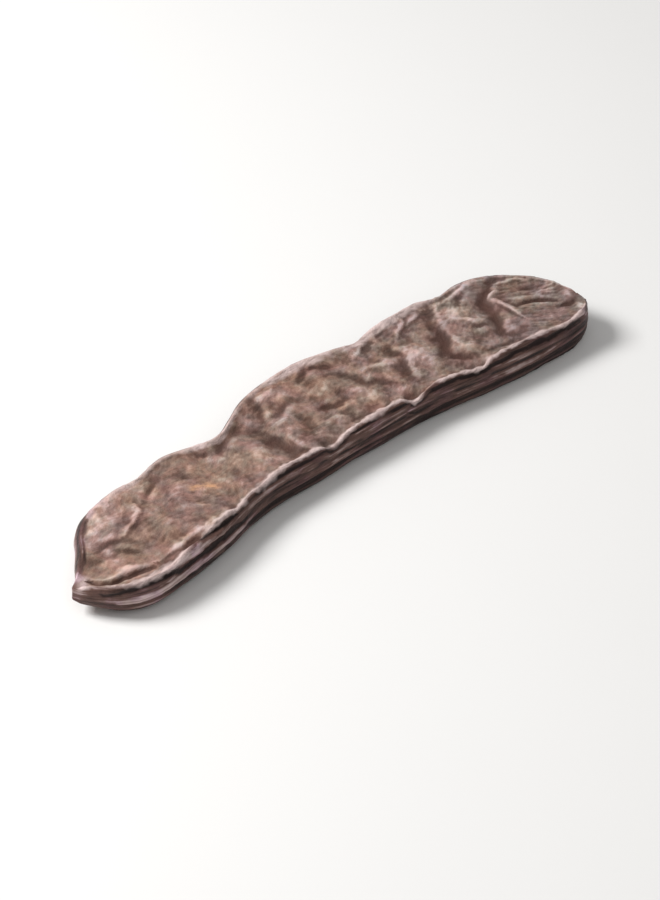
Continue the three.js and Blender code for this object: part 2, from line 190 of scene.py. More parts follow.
# Blooms of dust, and dull patches that are partly painted shade in valleys and by the shoulder at the tip,
# placed in the same way as (change of tone, radius, x, y).
BLOOMS_AND_SHADES = [
    (0.24, 3.4, -63.9, -0.3), (-0.32, 1.8, -64.4, 3.5), (-0.22, 1.7, -66.8, 0.5), (-0.25, 1.6, -71, -6),
    (-0.25, 1.6, -61.6, 5.6), (0.25, 2.2, -61.3, 2.9), (0.3, 2.3, -47.1, 7.8), (0.2, 2.5, -50.6, 7),
    (0.15, 2, -55, 7), (0.12, 1.2, -65.8, -6.6), (0.12, 2, -57.6, -13), (0.3, 1.3, -53.2, -14.8),
    (0.15, 3, -69, -11.4), (-0.2, 1.2, -56.6, -3.6), (-0.15, 1.6, -38.3, 4.2), (-0.12, 2.2, -57.3, -9.1),
    (-0.13, 2.8, -64, -4.6), (-0.12, 2.2, -61.5, -9.2), (-0.2, 1.1, -70.2, -7.1), (0.08, 10, -27, -1),
    (0.15, 2.2, -5.1, 11.5), (0.15, 1.4, -6.9, 13.9), (-0.15, 1.5, 3.3, 0.9), (-0.12, 2, -5.8, -1.6),
    (-0.12, 2.6, 14, 13.4), (0.12, 2.8, 31, 0.1), (0.1, 2.2, 31.6, 5.9), (0.07, 2.8, 14, -2.1),
    (0.12, 2, 20.2, -5.8), (-0.1, 1.6, 27.6, 7.1), (-0.13, 2.3, 40.8, 3.4), (-0.13, 2, 38.9, -1),
    (0.08, 2, 44.4, -3.4), (0.14, 2.6, 48, 9), (0.12, 2.2, 57, 14), (0.12, 2.2, 63, 12.4),
    (0.15, 1.2, 58.2, -1.8), (0.2, 0.8, 56.4, -5.6), (-0.07, 8, 67, 2), (-0.3, 1.2, 72, -6.6),
    (-0.25, 1, 74.5, -6.4), (0.25, 0.8, 75, -4.4), (0.25, 1, 74.5, -9.6), (0.25, 1, 72.5, -11.7),
]
# The scuff on the upper face, placed in the same way: its line, how many points the line is measured at,
# its half width, and how far up its skin has to face.
SCUFF = [(-38.6, -1.3), (-36.8, -1.9), (-35.2, -2.7), (-34, -4.3)]
SCUFF_POINTS = 60
SCUFF_WIDTH = 0.9
SCUFF_FACING = 0.3

# Ribs and grooves of both margins as (share of the half thickness, width as a share, height).
MARGIN_RIBS = [(0, 0.08, 0.3), (0.3, 0.17, -0.25), (0.85, 0.1, -0.25)]
# Changes of the rims' insets as (x, length, change).
TOP_FRONT_FLARES = [(-62, 14, -1), (53, 9, 0.6), (72, 8, -0.9)]
LOW_FRONT_FLARES = [(72, 12, -0.9)]
BACK_FLARES = [(-71, 8, 1.4)]
# Pale dust and painted highlight along the two upper rims: its even layers, its half width, and changes of
# share as (x, length, change).
BACK_LAYER, FRONT_LAYER = 0.2, 0.95
DUST_WIDTH = 0.7
BACK_DUST = [(-72, 8, -0.2), (-50, 8, 0.45), (-26, 10, 0.8), (12, 18, 1.1), (38, 10, 0.7)]
FRONT_DUST = [(-79, 8, -0.9), (-49.5, 4.5, -0.7), (25.5, 2.6, -1), (76, 4, -0.9)]
# Where the bands of dust and painted highlight along the two upper rims are wider, as (x, length, change).
FRONT_WIDENING = [(-64, 10, 0.7), (-27, 6, 0.5), (6, 5, 0.2)]
BACK_WIDENING = [(-50, 8, 0.7), (-26, 12, 0.5), (12, 20, 1.3), (38, 10, 0.9)]
# The dark nose at the blossom tip: a soft patch's middle and radius, and its edge as shares of the radius.
NOSE_PLACE, NOSE_RADIUS = (-79.5, -9.5), 5
NOSE_EDGE = (1.4, 0.6)
# The shoulder by the back rim at the tip, darkened with painted shadow: where it begins along X, and how far
# it reaches from the rim.
SHOULDER_START = (-56, -66)
SHOULDER_EDGE, SHOULDER_CORE = (4, 1), (2.4, 0.5)
# The pale stretch of the front margin at the tip: its share, x, length and edge from the rim.
PALE_TIP_SHARE, PALE_TIP_X, PALE_TIP_LENGTH = 0.8, -66, 9
PALE_TIP_EDGE = (1.2, 4)

# Rings along the pod, the shares of its length where they begin and end, and the steps round each ring.
RINGS = 548
FIRST_RING, LAST_RING = 0.0015, 0.986
BACK_STEPS, TOP_STEPS, FRONT_STEPS, LOW_STEPS = 28, 78, 34, 36
# How much the rings crowd towards the ends, and the steps of a face towards its rims.
END_CROWDING, RIM_CROWDING = 0.3, 0.25
# Steps of a traced curve between two points, and the spacing and fewest points along a fold's path.
CURVE_STEPS = 60
PATH_SPACING, FEWEST_POINTS = 0.25, 8
# Widths of blurs in cells of the grid.
NORMAL_BLUR = FOLD_BLUR = 2.5
HOLLOW_BLUR = 1.5
SIDES_BLUR = (1, 1.5)

# Powers of the faces' sag and the margins' roundness, and the half width with full relief.
FACE_POWER, MARGIN_POWER = 4, 2.3
FULL_WIDTH = 9
# How high the two ends stand, and how suddenly.
END_LIFT, END_POWER = 1.2, 8
# The widest inset of a rim as a share of the half width, and how far a dip reaches into a face.
WIDEST_INSET = 0.4
DIP_REACH = 4
# Seeds: how many, the first one's x, their pitch, their sway to either side and their radius.
SEED_COUNT = 12
SEED_START, SEED_PITCH, SEED_SWAY, SEED_RADIUS = -64, 11.4, 1.6, 4.6
# Long wrinkles: how many waves, the length that they start from, and each one's share of the last.
WRINKLE_WAVES = 9
WRINKLE_LENGTH = 17
WRINKLE_SHRINK = 0.88
# An angle and a step that spread turns and phases evenly.
GOLDEN_ANGLE = math.pi * (3 - math.sqrt(5))
PLASTIC_STEP = 0.7548776662

# The stalk scar: its rings, how far they close, stand out and sink, and the share where they begin to sink.
KNOB_RINGS = 10
KNOB_CLOSING, KNOB_REACH, KNOB_SINK = 0.8, 1.3, 0.9
KNOB_SINK_START = 0.75
# Its roughness as (height, size, seed), and how far its streaks run on.
SCAR_ROUGHNESS = (0.2, 1.1, 43)
SCAR_STREAK = 30
# Its edge and its dark pit as shares from rim to middle, and a paler ring as (share, place, width).
SCAR_EDGE, SCAR_PIT = (0, 0.3), (0.5, 0.95)
SCAR_RING = (0.6, 0.4, 0.25)

# Whole numbers that mix a lattice cell's indices, and the gain that brings the noise near -1 to 1.
HASH_X, HASH_Y, HASH_Z, HASH_SEED = 374761393, 668265263, 1440662683, 974634777
HASH_MIX = np.uint32(1274126177)
NOISE_GAIN = 1.6
# A length in metres that is as good as none, so that nothing is divided by zero.
TINY = 1e-6

# Bells: their usual and their crisper power, and how many widths away they are left out.
ROUND, CRISP = 2, 1.3
BELL_REACH = 3
# Valleys: how much gentler they are towards the tip, and their shift past the path as shares of the width.
VALLEY_LEAN = 0.2
VALLEY_SHIFT = (0.36, -0.27)
# Ridges below this width are crisp, and every fold loses this share of its height towards its ends.
CRISP_WIDTH = 1
END_FADE = 0.65
# Painted shade on the floors of valleys: the depth where it begins, its share by depth and at most, its width
# as a share of the valley's, and how much of it the lower face has.
HOLLOW_DEPTH = 0.3
HOLLOW_START, HOLLOW_GAIN, HOLLOW_MOST = -0.25, 1.3, 0.97
HOLLOW_SPREAD = 1.1
UNDER_HOLLOW = 0.7
# Dust and painted highlight on the edges of creases: their share by height, how far they reach, and their
# share of the rims' dust and highlight.
CREST_GAIN = 1.3
CREST_REACH = 3
CREST_DUST = 0.8
# How squarely the skin faces the viewpoint or the floor where the folds of that side begin, and are in full.
FACING_EDGE, BELOW_EDGE = (0.02, 0.3), (0.2, 0.7)

# Noises as (start, layers of (share, size, seed)), and the limits that some are held to.
FOLD_UNEVENNESS = 0.95, [(0.3, 3.5, 71)]
BEAD_BREAKS, BREAK_LIMITS = (0.75, [(0.6, 6, 31), (0.4, 2, 32)]), (0.1, 1.3)
BEAD_WANDER = 0, [(0.3, 3, 33), (0.2, 1.1, 34)]
BEAD_UNEVENNESS, UNEVEN_LIMITS = (1, [(0.8, 4, 35), (0.5, 1.5, 36)]), (0.45, 1.8)
DUST_PATCHES, PATCH_LIMITS = (0.7, [(1.2, 2.2, 37)]), (0.15, 1)
# What makes edges ragged, as (size, reach, seed).
RAGGED_EDGES = [(4, 0.6, 51), (1.6, 0.2, 61)]
# The rims' beads: half width, crispness, the stretch of their fade at the stalk, and the dust and painted
# highlight on their gaps.
BEAD_WIDTH, BEAD_CRISPNESS = 0.45, 1.6
BEAD_END = (0, 3)
GAP_DUST = 0.2

# Crumpled ridges: size and share of the warp, its seeds, the ridges' top and how rounded they are.
WARP_SIZE, WARP_SHARE, WARP_SEEDS = 1.7, 0.55, (11, 12, 13)
CRUMPLE_TOP, CRUMPLE_ROUNDING = 0.45, 0.006
# Those of the faces as (where, share, turn, stretch, size, seed), and how far the back rim's ones reach.
CRUMPLES = [
    ("everywhere", 0.5, 0.7, 1.8, 4.5, 3), ("everywhere", 0.5, 0.7, 1.8, 2.4, 7),
    ("body", 0.45, 0.75, 3, 1.1, 17), ("stalk end", 0.6, -0.45, 3, 1.1, 19),
    ("back rim", 0.6, 0.8, 3, 1.4, 27),
]
BACK_RIM_REACH = 4
# Where the ridges turn to the stalk end's slant, and where they grow from their least share to the full one.
STALK_END = (54, 62)
SHRIVEL_GROWTH, SHRIVEL_LEAST = (-20, 40), 0.55
# Soft lumps as (height, size, seed, layers), and their share on the margins.
SOFT_LUMPS = (0.12, 5, 41, 3)
SIDE_LUMPS = 0.3
# Streaks of the margins as (height, times finer, seed), with the first one's length and width.
STREAKS = [(0.13, 1, 23), (0.09, 2, 24)]
STREAK_LENGTH, STREAK_WIDTH = 14, 0.9

# Relief masks as (cells of blur, depth), and the painted shadow line under the rims as its share, gap and
# width.
RELIEFS = {"fine": (2, 0.035), "middle": (5, 0.15)}
RIM_SHADOW_DIM, RIM_SHADOW_GAP, RIM_SHADOW_WIDTH = 0.25, 1.3, 0.7
# The shoulder's painted shadow, and what is added where it is a margin.
SHOULDER_DIM, SHOULDER_SIDE_DIM = 0.8, 0.8

# Masks of the skin that the finish reads, beside the length along the pod.
MASKS = ("fine", "middle", "fold", "valley_shade", "rim", "margin", "dim", "bloom_and_shade", "scuff")
# Tones of the faces and margins: what each mask or noise adds, and the stops that the colours stand at.
# The fold, fine and middle masks paint shade into valleys, grooves and crevices, and make ridges, ribs and
# crests paler with dust and painted light.
FACE_START = -0.05
FACE_SHARES = {"fine": 0.14, "middle": 0.12, "fold": 0.22, "mottle": 0.5, "flecks": 0.6, "bloom_and_shade": 1}
FACE_STOPS = [(0.08, "crack"), (0.36, "hull_dark"), (0.64, "hull_pale"), (1, "dust")]
SIDE_SHARES = {"dim": -0.3, "fine": 0.1, "middle": 0.12, "fold": 0.6, "streak": 1.4, "flecks": 0.2}
SIDE_STOPS = [(0.15, "margin"), (0.55, "rib"), (0.95, "dust")]
# Painted shade on the margins near the floor: two heights, and where their tone starts there.
SIDE_HEIGHTS, SIDE_STARTS = (1.5, 5), (-0.72, -0.5)
# How much the painted shade colour of the valley floors covers.
HOLLOW_SHARE = 0.75
# Noises of the finish as (scale, detail, roughness), the last two for the fine grain and the floor.
MOTTLE, WARMTH, TINT, RUDDINESS = (150, 4, 0.6), (75, 2, 0.5), (140, 3, 0.6), (340, 3, 0.6)
GRAIN, FAINT = (2200, 2, 0.5), (6, 3, 0.55)
# The margins' streaks, and how far they are drawn out.
STREAK_NOISE, STREAK_STRETCH = (1000, 4, 0.6), 0.07
# A bend that keeps patterns from lying straight: its scale, and its reach in metres.
BEND_SCALE, BEND_REACH = 90, 0.008
# Slanted noises: their two turns, how far they are drawn out, their detail and roughness, and their scales.
SLANTS, SLANT_STRETCH, SLANT_DETAIL = (-0.75, 0.45), 0.35, (4, 0.65)
FLECK_SCALE, CREASE_SCALE = 800, 650
# Tints that multiply the colours, and the span of noise over which each one comes in.
TINT_SPAN, SIDE_TINT_SPAN = (0.4, 0.6), (0.45, 0.6)
WARM, SIDE_TINT = (1, 0.93, 0.88), (1.02, 0.95, 1.1)
OLIVE, ROSE = (0.97, 0.985, 0.9), (1, 0.95, 0.985)
COOL, RUDDY = (0.93, 1.015, 1.03), (1.06, 0.98, 0.95)
# The cooler tint of the stalk half, and where it comes in along X.
STALK_TINT, STALK_HALF = (0.957, 1.02, 1.068), (16, 32)
# Spans over which the margins, the dust and the flecks in the dust and scuff come in.
MARGIN_SPAN, DUST_SPAN, WEAR_SPAN = (0.2, 0.9), (0.2, 0.8), (0.35, 0.6)
LEAST_WEAR = 0.4
# Roughness below and above its middle, the span of flecks over which it varies, the margins' change, and the
# hull's low shine.
SMOOTHER, ROUGHER, ROUGH_SPAN = 0.1, 0.12, (0.3, 0.7)
SIDE_ROUGHNESS = -0.14
SHINE = 0.2
# Fine bump: the creases' share beside the grain, its strength and its depth.
CREASE_SHARE, BUMP_STRENGTH, BUMP_DEPTH = 2.0, 0.55, 0.25
# The floor's darker patches as a share of its colour, and its roughness.
FLOOR_SHADE, FLOOR_ROUGHNESS = 0.97, 0.85
# Lights as (azimuth and elevation in degrees, distance and size in metres).
KEY_LIGHT, FILL_LIGHT = (225, 45, 0.75, 0.3), (-20, 55, 1.0, 0.9)


def number(name, description, default, **limits):
    """A number that a user can change."""
    return bpy.props.FloatProperty(name=name, description=description, default=default, **limits)


def length(name, description, default, **limits):
    """A length that a user can change."""
    return number(name, description, default, unit="LENGTH", **limits)


def colour(name, description, default):
    """A colour that a user can change."""
    return bpy.props.FloatVectorProperty(
        name=name, description=description, default=default, subtype="COLOR", size=3, min=0, max=1)


class PodShape(bpy.types.PropertyGroup):
    """Sizes of the pod's skin."""

    half_thickness: length("Half thickness", "Half of the pod's thickness at its rims", 4.9 * MM, min=1 * MM)
    front_inset: length("Front rim inset", "How far the front rim stands in from its margin", 2.2 * MM, min=0)
    back_inset: length("Back rim inset", "How far the back rim stands in from its margin", 2 * MM, min=0)
    face_sink: length("Face sink", "How deep both faces sink between their rims", 0.6 * MM)
    dip_out: length("Dip out", "How far a full dip moves a rim outwards", 1.2 * MM)
    dip_down: length("Dip down", "How far a full dip lowers a rim", 1.9 * MM)
    seed_height: length("Seed height", "How far each seed swells the faces", 0.2 * MM)
    wrinkle_height: length("Wrinkle height", "Height of the long wrinkles", 0.1 * MM)
    rim_bead: length("Rim bead", "Height of the thin bead along each rim", 0.25 * MM)
    crumple_height: length("Crumple height", "Height of the shrivelled ridges", 0.18 * MM)
    rest_press: length("Rest press", "How much the pod's weight flattens its lower rims", 0.45 * MM, min=0)


class PodFinish(bpy.types.PropertyGroup):
    """Colours of the hull."""

    hull_dark: colour("Dark hull", "Darker patches of the faces", (0.144, 0.087, 0.073))
    hull_pale: colour("Pale hull", "Paler patches of the faces", (0.308, 0.21, 0.181))
    # The painted shade colour of the valley floors.
    valley_shade: colour("Hollows", "Floors of the wide folds", (0.1, 0.048, 0.037))
    # The darkest face colour: the darkest mottling, and painted shade at the bottoms of the finest creases.
    crack: colour("Cracks", "Bottoms of the finest creases", (0.06, 0.033, 0.026))
    # The margins' darkest colour: their dark skin, and painted shade in their grooves, under the rims and on
    # the shoulder.
    margin: colour("Margins", "Grooves of the two margins", (0.018, 0.0085, 0.007))
    rib: colour("Margin ribs", "Ribs and streaks of the two margins", (0.14, 0.076, 0.062))
    # Pale dust and painted highlight on rims and ridges.
    dust: colour("Dusty crests", "Pale dust on rims and ridges", (0.64, 0.5, 0.475))
    scuff: colour("Scuff", "The tan scuff on the upper face", (0.56, 0.3, 0.17))
    roughness: number("Roughness", "Middle roughness of the faces", 0.58, min=0, max=1, subtype="FACTOR")


class PodStage(bpy.types.PropertyGroup):
    """Floor, lights and camera."""

    floor_size: length("Floor size", "Side of the square floor", 4, min=0.5)
    floor_colour: colour("Floor colour", "Colour of the floor", (0.83, 0.82, 0.805))
    key_power: number("Key power", "Power of the soft key light", 6.5, min=0, unit="POWER")
    fill_power: number("Fill power", "Power of the wide fill light", 1.2, min=0, unit="POWER")
    sky_strength: number("Sky strength", "Strength of the even light from all round", 0.35, min=0)
    azimuth: number("Azimuth", "Turn of the camera round the pod", VIEW_AZIMUTH, subtype="ANGLE")
    elevation: number("Elevation", "Height of the camera above the horizon", VIEW_ELEVATION, subtype="ANGLE")
    distance: length("Distance", "From the camera to the point that it looks at", 0.756, min=0.1)
    lens: number("Lens", "Focal length for a 36 mm sensor", 131.9, min=1, unit="CAMERA")
    aim: bpy.props.FloatVectorProperty(
        name="Aim", description="The point that the camera looks at", subtype="XYZ",
        size=3, default=(-3.45 * MM, -7.13 * MM, 4.725 * MM))


def bell(distance, width, crispness=ROUND):
    """1 at zero, 1/e at the given width: e to the minus (distance / width) to the power of crispness."""
    return np.exp(-np.abs(distance / width) ** crispness)


def blend(start, end, share):
    """Straight mix of two values."""
    return start + (end - start) * share


def smooth_step(low, high, value):
    """0 below low and 1 above high, with a cubic ease 3 s^2 - 2 s^3 between."""
    share = np.clip((value - low) / (high - low), 0, 1)
    return share * share * (3 - 2 * share)


def span_step(span, value):
    """A smooth step over a span in millimetres."""
    return smooth_step(span[0] * MM, span[1] * MM, value)


def direction(azimuth, elevation):
    """Unit vector from the pod towards a viewer: azimuth 0 stands at -Y, and turns anticlockwise."""
    level = math.cos(elevation)
    return np.array([math.sin(azimuth) * level, -math.cos(azimuth) * level, math.sin(elevation)])


def curve_trace(points):
    """A fine line through the points, and the length along it.

    Each stretch is a cubic whose end slopes come from its neighbours, with knots spaced by the square
    root of the distances (a centripetal Catmull-Rom curve); the ends are mirrored.
    """
    knots = np.asarray(points, float) * MM
    knots = np.vstack([2 * knots[0] - knots[1], knots, 2 * knots[-1] - knots[-2]])
    gaps = np.sqrt(np.linalg.norm(np.diff(knots, axis=0), axis=1))[:, None]
    before, here, after = gaps[:-2], gaps[1:-1], gaps[2:]
    p0, p1, p2, p3 = knots[:-3], knots[1:-2], knots[2:-1], knots[3:]
    slope1 = here * ((p1 - p0) / before - (p2 - p0) / (before + here) + (p2 - p1) / here)
    slope2 = here * ((p2 - p1) / here - (p3 - p1) / (here + after) + (p3 - p2) / after)
    s = np.linspace(0, 1, CURVE_STEPS, endpoint=False)[None, :, None]
    p1, p2, slope1, slope2 = (a[:, None] for a in (p1, p2, slope1, slope2))
    line = p1 + slope1 * s + (3 * (p2 - p1) - 2 * slope1 - slope2) * s**2
    line = line + (2 * (p1 - p2) + slope1 + slope2) * s**3
    line = np.vstack([line.reshape(-1, 2), knots[-2]])
    lengths = np.concatenate([[0], np.cumsum(np.linalg.norm(np.diff(line, axis=0), axis=1))])
    return line, lengths


def curve_at(trace, along):
    """Points at shares of a traced line's length."""
    line, lengths = trace
    at = along * lengths[-1]
    return np.stack([np.interp(at, lengths, line[:, 0]), np.interp(at, lengths, line[:, 1])], -1)


def lattice_gradients(cell, seed):
    """A unit direction for each lattice cell, from a whole-number hash of its three indices."""
    h = cell[..., 0] * HASH_X + cell[..., 1] * HASH_Y + cell[..., 2] * HASH_Z + seed * HASH_SEED
    h = (h & 0xFFFFFFFF).astype(np.uint32)
    h = (h ^ (h >> 13)) * HASH_MIX
    h = h ^ (h >> 16)
    turn = (h & 0xFFFF) * (2 * math.pi / 0x10000)
    level = (h >> 16) * (2 / 0x10000) - 1
    flat = np.sqrt(1 - level**2)
    return np.stack([flat * np.cos(turn), flat * np.sin(turn), level], -1)


def noise(points, seed):
    """Smooth noise of about -1 to 1: slopes at whole-number lattice corners, mixed with a quintic ease."""
    base = np.floor(points).astype(np.int64)
    part = points - base
    ease = part**3 * (part * (part * 6 - 15) + 10)
    total = np.zeros(points.shape[:-1])
    for corner in np.ndindex(2, 2, 2):
        step = np.array(corner)
        weight = np.prod(np.where(step, ease, 1 - ease), axis=-1)
        total += weight * np.sum(lattice_gradients(base + step, seed) * (part - step), axis=-1)
    return total * NOISE_GAIN


def layered_noise(points, seed, layers):
    """A sum of noises, each of half the size and half the height of the last."""
    return sum(noise(points * 2**k, seed + k) / 2**k for k in range(layers))


def noise_layers(points, start, layers):
    """A start plus noises, each given as (share, size in millimetres, seed)."""
    total = start
    for share, size, seed in layers:
        total = total + share * noise(points / (size * MM), seed)
    return total


def on_level(place):
    """Plan positions as points of the level Z = 0."""
    return np.concatenate([place, np.zeros_like(place[..., :1])], -1)


def ragged(place):
    """Plan positions pushed about by two sizes of noise, so that what is measured has uneven edges."""
    level = on_level(place) / MM
    push = 0
    for size, reach, seed in RAGGED_EDGES:
        push = push + reach * MM * np.stack([noise(level / size, seed), noise(level / size, seed + 1)], -1)
    return place + push


def sight_place(points):
    """Where points appear from the viewpoint: each is slid along the line of sight to the drawing plane."""
    sight = direction(VIEW_AZIMUTH, VIEW_ELEVATION)
    return points[..., :2] + (SIGHT_HEIGHT * MM - points[..., 2:]) * sight[:2] / sight[2]


def path_gap(place, path, reach):
    """Which points lie near a path, and for those: the distance to it, the share of that distance along X,
    whether they lie to its left, and a fade towards its ends.
    """
    trace = curve_trace(path)
    shares = np.linspace(0, 1, max(FEWEST_POINTS, int(trace[1][-1] / (PATH_SPACING * MM))))
    line = curve_at(trace, shares)
    near = np.all((place > line.min(0) - reach) & (place < line.max(0) + reach), axis=-1)
    gaps = np.linalg.norm(place[near][:, None] - line, axis=-1)
    nearest = gaps.argmin(1)
    gap = gaps.min(1)
    away = place[near] - line[nearest]
    ahead = np.gradient(line, axis=0)[nearest]
    left = ahead[:, 0] * away[:, 1] > ahead[:, 1] * away[:, 0]
    fade = 1 - END_FADE * (2 * shares[nearest] - 1) ** 2
    return near, gap, away[:, 0] / np.maximum(gap, TINY), left, fade


def fold_relief(place, folds):
    """Height of all folds: each is a bell of the distance to its path, and fades towards the path's ends.

    A valley lies a little past the path that its painted shade follows, is gentle towards the tip and steep
    towards the stalk.
    """
    relief = np.zeros(place.shape[:-1])
    uneven = noise_layers(on_level(place), *FOLD_UNEVENNESS)
    for height, width, path in folds:
        valley = height < 0
        crease = isinstance(width, tuple)
        shift = np.multiply(width, VALLEY_SHIFT) * MM if valley else 0
        near, gap, lean, left, fade = path_gap(place - shift, path, BELL_REACH * np.max(width) * MM)
        reach = np.where(left, *width) if crease else width * (1 - VALLEY_LEAN * lean * valley)
        crispness = CRISP if not valley and not crease and width < CRISP_WIDTH else ROUND
        relief[near] += height * MM * fade * uneven[near] * bell(gap, reach * MM, crispness)
    return relief


def hollow_shade(place, folds):
    """Painted shade on the valley floors, from 0 to 1: what the valleys' bells together cover."""
    clear = np.ones(place.shape[:-1])
    for height, width, path in folds:
        if height < -HOLLOW_DEPTH:
            near, gap, _, _, fade = path_gap(place, path, BELL_REACH * width * MM)
            dark = min(HOLLOW_MOST, HOLLOW_START - HOLLOW_GAIN * height)
            clear[near] *= 1 - dark * fade * bell(gap, HOLLOW_SPREAD * width * MM)
    return 1 - clear


def crest_dust_and_highlight(place, folds):
    """How much dust and painted highlight the edges of the creases have, from 0 to 1: bells as strong as a
    crease is high, and a quarter as wide as its two sides together.
    """
    shade = np.zeros(place.shape[:-1])
    for height, width, path in folds:
        if isinstance(width, tuple):
            near, gap, _, _, fade = path_gap(place, path, CREST_REACH * MM)
            dust = min(1, CREST_GAIN * height) * fade * bell(gap, sum(width) / 4 * MM)
            shade[near] = np.maximum(shade[near], dust)
    return shade


def lump_relief(place, lumps):
    """Swellings and dents: a bell round each centre."""
    return sum(
        height * MM * bell(np.hypot(place[..., 0] - x * MM, place[..., 1] - y * MM), radius * MM)
        for height, radius, x, y in lumps)


def wrinkle_relief(place, height, seed):
    """Long wrinkles: waves whose directions follow the golden angle, each shorter than the last."""
    total = 0
    for wave in range(1, WRINKLE_WAVES + 1):
        turn = (wave + seed) * GOLDEN_ANGLE
        wave_length = WRINKLE_LENGTH * MM * WRINKLE_SHRINK**wave
        across = place[..., 0] * math.cos(turn) + place[..., 1] * math.sin(turn)
        total = total + np.cos(2 * math.pi * (across / wave_length + (wave + seed) * PLASTIC_STEP))
    return height * total * math.sqrt(2 / WRINKLE_WAVES)


def seed_relief(place, middle_y, height):
    """Seed swellings: bells at an even pitch along the middle line, now to one side and now the other."""
    total = 0
    for seed in range(SEED_COUNT):
        seed_x = (SEED_START + SEED_PITCH * seed) * MM
        seed_y = middle_y + SEED_SWAY * MM * math.cos(seed * GOLDEN_ANGLE)
        total = total + bell(np.hypot(place[..., 0] - seed_x, place[..., 1] - seed_y), SEED_RADIUS * MM)
    return height * total


def dip_share(x, dips):
    """The total share of a rim's dips at x, at most 1: each is a bell with its own length on either side."""
    total = 0
    for at, before, after, share in dips:
        total = total + share * bell(x - at * MM, np.where(x < at * MM, before, after) * MM)
    return np.minimum(total, 1)


def bells_along(x, bells):
    """A sum of bells along X, each given as (x, length, height)."""
    return sum(height * bell(x - at * MM, reach * MM) for at, reach, height in bells)


def ring_frames(shape):
    """What each ring needs, as columns: its middle, direction across, half width, thickness and height."""
    even = np.linspace(0, 1, RINGS)
    crowded = even - END_CROWDING * np.sin(2 * math.pi * even) / (2 * math.pi)
    along = blend(FIRST_RING, LAST_RING, crowded)
    front_trace, back_trace = curve_trace(FRONT_MARGIN), curve_trace(BACK_MARGIN)
    front, back = curve_at(front_trace, along), curve_at(back_trace, along)
    pod_length = front_trace[1][-1]
    width = np.linalg.norm(back - front, axis=1)
    tip_taper = 1 - (1 - TIP_SHARE) * np.exp(-along * pod_length / (TIP_REACH * MM))
    stalk_taper = 1 - (1 - STALK_SHARE) * np.exp(-(1 - along) * pod_length / (STALK_REACH * MM))
    taper = (tip_taper * stalk_taper)[:, None]
    half_width = (width / 2)[:, None]
    return {
        "along": (along * pod_length)[:, None],
        "middle": (front + back) / 2,
        "across": (back - front) / width[:, None],
        "front_x": front[:, :1],
        "back_x": back[:, :1],
        "half_width": half_width,
        "half_thickness": shape.half_thickness * taper,
        "height": shape.half_thickness + END_LIFT * MM * np.abs(2 * along[:, None] - 1) ** END_POWER,
        "fade": taper * np.minimum(1, half_width / (FULL_WIDTH * MM)),
    }


def rim_crest(rings, shape, x, inset, flares, dips):
    """A rim's distance from the middle line and its height above the middle plane, lowered at its dips."""
    dip = dip_share(x, dips) * rings["fade"]
    half_width = rings["half_width"]
    room = inset + bells_along(x, flares) * MM - shape.dip_out * dip
    out = half_width - np.minimum(room, WIDEST_INSET * half_width)
    return out, rings["half_thickness"] - shape.dip_down * dip


def ring_points(rings, shape, out, up):
    """Points of the rings, from distances out of the middle line and up from the middle plane."""
    flat = rings["middle"][:, None] + rings["across"][:, None] * out[..., None]
    return np.concatenate([flat, (rings["height"] + up - shape.rest_press)[..., None]], -1)


def face_points(rings, shape, front, back, steps, upper):
    """A broad face from rim to rim: it sinks between them by 1 - |share|^4, with seeds and wrinkles on it.

    A dip of either rim lowers the face too, less and less with the distance from that rim.
    """
    even = np.linspace(1, -1, steps, endpoint=False) * (1 if upper else -1)
    share = ((1 + RIM_CROWDING) * even - RIM_CROWDING * even**3)[None]
    mix = (share + 1) / 2
    out = blend(-front[0], back[0], mix)
    place = rings["middle"][:, None] + rings["across"][:, None] * out[..., None]
    inside = (1 - np.abs(share) ** FACE_POWER) * rings["fade"]
    relief = seed_relief(place, rings["middle"][:, 1:], shape.seed_height)
    relief += wrinkle_relief(place, shape.wrinkle_height, 0 if upper else WRINKLE_WAVES)
    flat = rings["half_thickness"]
    dips = (front[1] - flat) * bell(out + front[0], DIP_REACH * MM)
    dips += (back[1] - flat) * bell(back[0] - out, DIP_REACH * MM)
    up = flat + dips + inside * (relief - shape.face_sink)
    return ring_points(rings, shape, out, up if upper else -up)


def side_points(rings, shape, top, low, steps, side):
    """A margin between its two rims: a superellipse of power 2.3 with ribs and grooves along it."""
    turn = np.linspace(-1, 1, steps, endpoint=False) * side
    level = np.sin(turn * math.pi / 2)[None]
    rim_out, rim_up = (np.where(level > 0, upper, lower) for upper, lower in zip(top, low))
    nose = (1 - np.abs(level) ** MARGIN_POWER) ** (1 / MARGIN_POWER)
    relief = sum(height * MM * bell(np.abs(level) - at, width) for at, width, height in MARGIN_RIBS)
    out = blend(rim_out, rings["half_width"], nose) + relief * rings["fade"]
    return ring_points(rings, shape, side * out, rim_up * level)


def knob_points(last_ring):
    """The stalk scar: the last ring drawn together along +X on a quarter circle, with its middle sunk."""
    centre = (last_ring.min(0) + last_ring.max(0)) / 2
    turn = np.linspace(0, math.pi / 2, KNOB_RINGS + 1)[1:, None, None]
    rings = centre + (last_ring - centre) * (1 - KNOB_CLOSING * (1 - np.cos(turn)))
    sunk = smooth_step(KNOB_SINK_START, 1, turn / (math.pi / 2))
    rings[..., 0] += (KNOB_REACH * MM * np.sin(turn) - KNOB_SINK * MM * sunk)[..., 0]
    return rings


def grid_normals(grid):
    """Outward unit normals: the step round each ring crossed with the step along the pod."""
    around = np.roll(grid, -1, 1) - np.roll(grid, 1, 1)
    along = np.gradient(grid, axis=0)
    normal = np.cross(around, along)
    return normal / np.maximum(np.linalg.norm(normal, axis=-1, keepdims=True), TINY**2)


